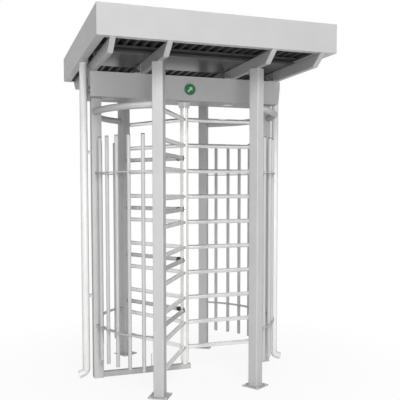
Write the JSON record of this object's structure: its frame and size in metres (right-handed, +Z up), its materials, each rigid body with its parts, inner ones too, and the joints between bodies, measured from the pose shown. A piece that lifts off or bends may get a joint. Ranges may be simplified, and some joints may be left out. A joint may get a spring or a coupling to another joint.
{
  "type": "full height turnstile",
  "caption": "Full height turnstile: steel posts in a circle carry a header box and a flat canopy; a three-wing rotor of level bars turns between a round cage and fixed combs.",
  "frame": {"origin": "on the floor, on the axis of the rotor", "axes": "+Z up, +Y from the front doorway to the rear one, +X to the right seen from the front"},
  "size_m": [1.6882, 1.788, 2.56],
  "materials": {
    "frame_coat": "satin powder coat",
    "canopy_coat": "satin powder coat",
    "stainless": "fine brushed, tubes",
    "plated_steel": "zinc plated",
    "cap_plastic": "moulded",
    "bronze": "machined",
    "bearing_steel": "ground",
    "lock_chrome": "plated",
    "damper_aluminium": "turned",
    "coil_plastic": "moulded",
    "control_plastic": "moulded",
    "lamp_white": "gloss",
    "lamp_opal": "opal",
    "deck_coat": "matt underside coat",
    "pipe_white": "extruded",
    "indicator_dark": "moulded",
    "indicator_green": "clear faced",
    "indicator_arrow": "lit"
  },
  "bodies": {
    "frame": {"post_front_left": "frame_coat", "post_front_right": "frame_coat", "post_rear_left": "frame_coat", "post_rear_right": "frame_coat", "post_left": "frame_coat", "post_right": "frame_coat", "base_plates": "frame_coat", "ring_left": "frame_coat", "ring_right": "frame_coat", "cage_rails_left": "frame_coat", "cage_rails_right": "frame_coat", "cage_bars_left": "frame_coat", "cage_bars_right": "frame_coat", "comb_front": "stainless", "comb_rear": "stainless", "comb_end_caps": "cap_plastic", "sill_beam": "frame_coat", "sill_stud": "plated_steel", "foot_cup": "stainless", "foot_bush": "bronze", "header_shell": "frame_coat", "header_end_left": "frame_coat", "header_end_right": "frame_coat", "cover_hinge_pin": "plated_steel", "bearing_plate": "plated_steel", "top_bearing": "bearing_steel", "bearing_cap": "stainless", "damper_body": "damper_aluminium", "solenoids": "coil_plastic", "controller_box": "control_plastic", "lamp_housings": "lamp_white", "lamp_lenses": "lamp_opal", "roof_arms": "frame_coat", "roof_purlins": "frame_coat", "roof_deck": "deck_coat", "roof_brackets": "plated_steel", "fascia_front": "canopy_coat", "fascia_rear": "canopy_coat", "fascia_left": "canopy_coat", "fascia_right": "canopy_coat", "downpipe_left": "pipe_white", "downpipe_right": "pipe_white", "pipe_clips": "plated_steel"},
    "rotor": {"rotor_column": "stainless", "rotor_wing_1": "stainless", "rotor_wing_2": "stainless", "rotor_wing_3": "stainless", "index_disc": "plated_steel", "drive_gear": "plated_steel"},
    "damper_drive": {"damper_pinion": "plated_steel"},
    "pawl_left": {"lock_pawl_left": "plated_steel"},
    "pawl_right": {"lock_pawl_right": "plated_steel"},
    "solenoid_plunger_left": {"plunger_left": "plated_steel"},
    "solenoid_plunger_right": {"plunger_right": "plated_steel"},
    "header_cover": {"header_front_cover": "frame_coat", "indicator_bezel": "indicator_dark", "indicator_lens": "indicator_green", "indicator_arrow": "indicator_arrow"},
    "lock_lower": {"cover_lock_lower": "lock_chrome"},
    "lock_upper": {"cover_lock_upper": "lock_chrome"}
  },
  "joints": [
    {"name": "rotor_turn", "type": "hinge", "parent": "frame", "child": "rotor", "pos_m": [0, 0, 0], "axis": [0, 0, 1], "continuous": true},
    {"name": "damper_turn", "type": "hinge", "parent": "frame", "child": "damper_drive", "pos_m": [0, 0.105, 2.19], "axis": [0, 0, 1], "continuous": true},
    {"name": "pawl_left_swing", "type": "hinge", "parent": "frame", "child": "pawl_left", "pos_m": [-0.11, -0.06473, 2.156], "axis": [0, 0, -1], "range_deg": [0, 8], "stiffness_Nm_per_rad": 0.5},
    {"name": "pawl_right_swing", "type": "hinge", "parent": "frame", "child": "pawl_right", "pos_m": [0.11, 0.06473, 2.156], "axis": [0, 0, -1], "range_deg": [0, 8], "stiffness_Nm_per_rad": 0.5},
    {"name": "plunger_left_travel", "type": "slide", "parent": "frame", "child": "solenoid_plunger_left", "axis": [1, 0, 0], "range_m": [0, 0.012]},
    {"name": "plunger_right_travel", "type": "slide", "parent": "frame", "child": "solenoid_plunger_right", "axis": [-1, 0, 0], "range_m": [0, 0.012]},
    {"name": "header_cover_hinge", "type": "hinge", "parent": "frame", "child": "header_cover", "pos_m": [0, -0.14, 2.115], "axis": [1, 0, 0], "range_deg": [0, 110]},
    {"name": "lock_lower_turn", "type": "hinge", "parent": "frame", "child": "lock_lower", "pos_m": [-0.75, -0.118, 2.132], "axis": [-1, 0, 0], "range_deg": [0, 90]},
    {"name": "lock_upper_turn", "type": "hinge", "parent": "frame", "child": "lock_upper", "pos_m": [-0.75, -0.118, 2.168], "axis": [-1, 0, 0], "range_deg": [0, 90]}
  ],
  "couplings": [
    {"joint": "damper_turn", "follows": "rotor_turn", "ratio": -4},
    {"joint": "plunger_left_travel", "follows": "pawl_left_swing", "m_per_rad": 0.084511},
    {"joint": "plunger_right_travel", "follows": "pawl_right_swing", "m_per_rad": 0.084511}
  ]
}
